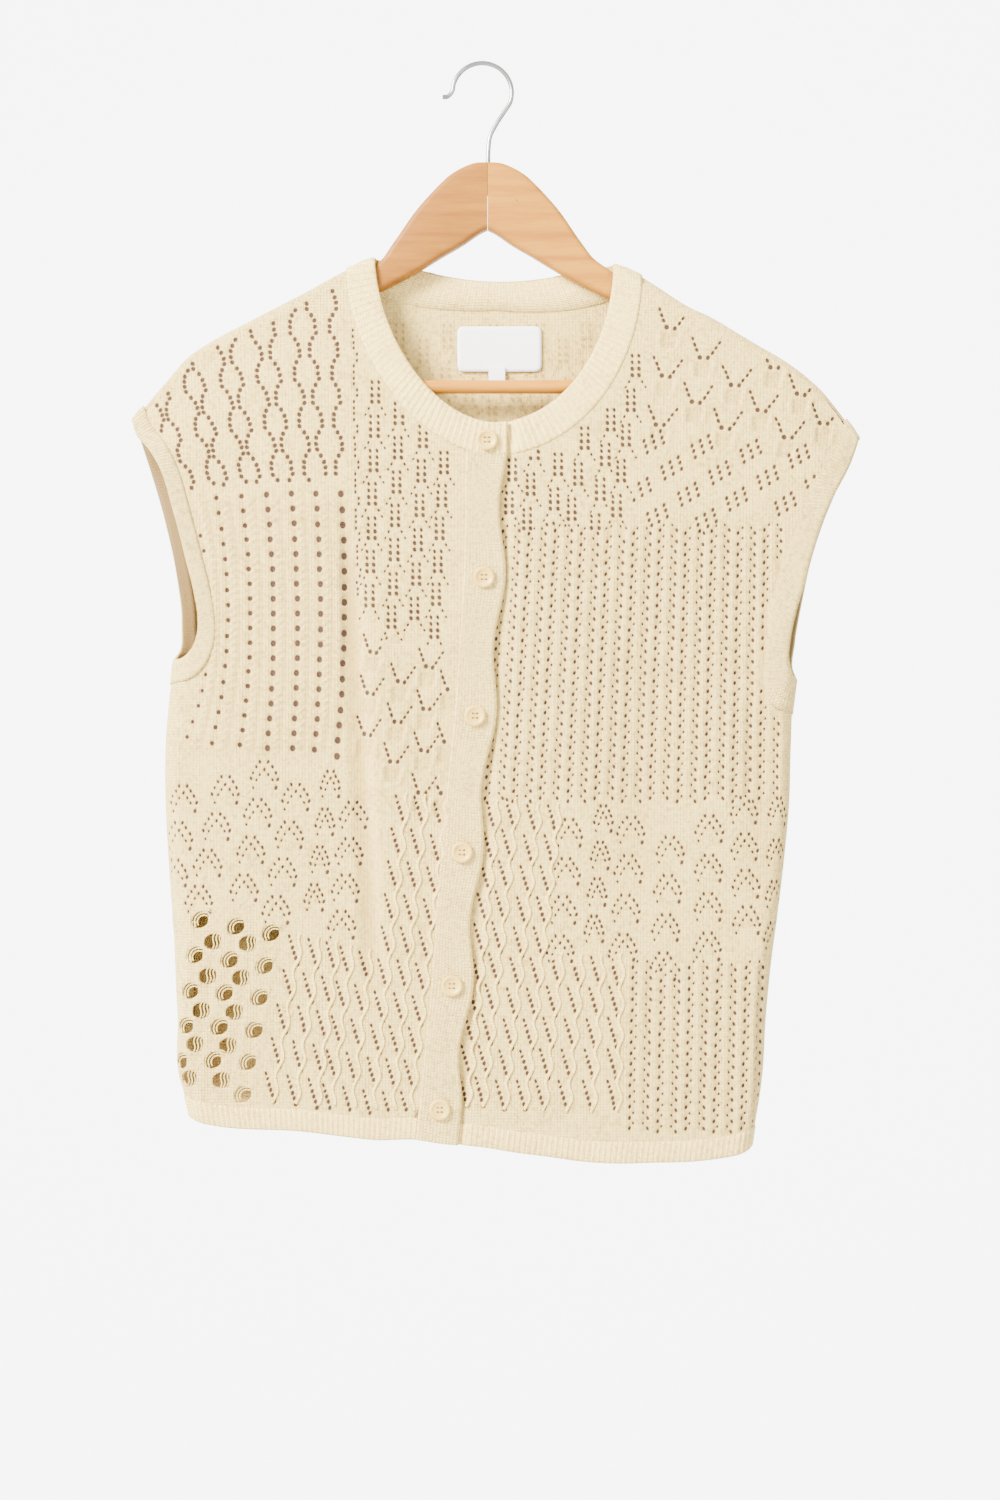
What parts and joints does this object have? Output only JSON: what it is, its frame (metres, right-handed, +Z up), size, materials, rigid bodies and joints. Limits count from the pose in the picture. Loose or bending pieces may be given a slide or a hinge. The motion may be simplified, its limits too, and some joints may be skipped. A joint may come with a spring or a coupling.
{
  "type": "sleeveless cardigan on a hanger",
  "caption": "Sleeveless patchwork lace knit cardigan with a ribbed neckband and hem and buttoned front, buttoned and hung flat on a wooden hanger with a steel hook.",
  "frame": {"origin": "the inner top of the hanger's hook, where a rail would carry it", "axes": "+Z up; the front of the cardigan faces -Y; +X is to the viewer's right, which is the wearer's left"},
  "size_m": [0.5122, 0.0445, 0.7755],
  "materials": {
    "knit": "matt cotton knit, warm cream",
    "button": "satin cream, turned",
    "label": "woven white tape",
    "wood_right": "thin clear lacquer, the darker half",
    "wood_left": "thin clear lacquer, the lighter half",
    "wood_bar": "thin clear lacquer",
    "steel": "plated steel wire"
  },
  "bodies": {
    "root": {"front_right": "knit", "front_left": "knit", "back": "knit", "neckband": "knit", "armhole_band_right": "knit", "armhole_band_left": "knit", "buttonhole_band": "knit", "button_band": "knit", "hem_rib_front_right": "knit", "hem_rib_front_left": "knit", "hem_rib_back": "knit", "button_1": "button", "button_2": "button", "button_3": "button", "button_4": "button", "button_5": "button", "button_6": "button", "neck_label": "label", "size_tab": "label", "hanger_arm_right": "wood_right", "hanger_arm_left": "wood_left", "hanger_bar": "wood_bar", "hanger_hook": "steel"}
  },
  "joints": []
}
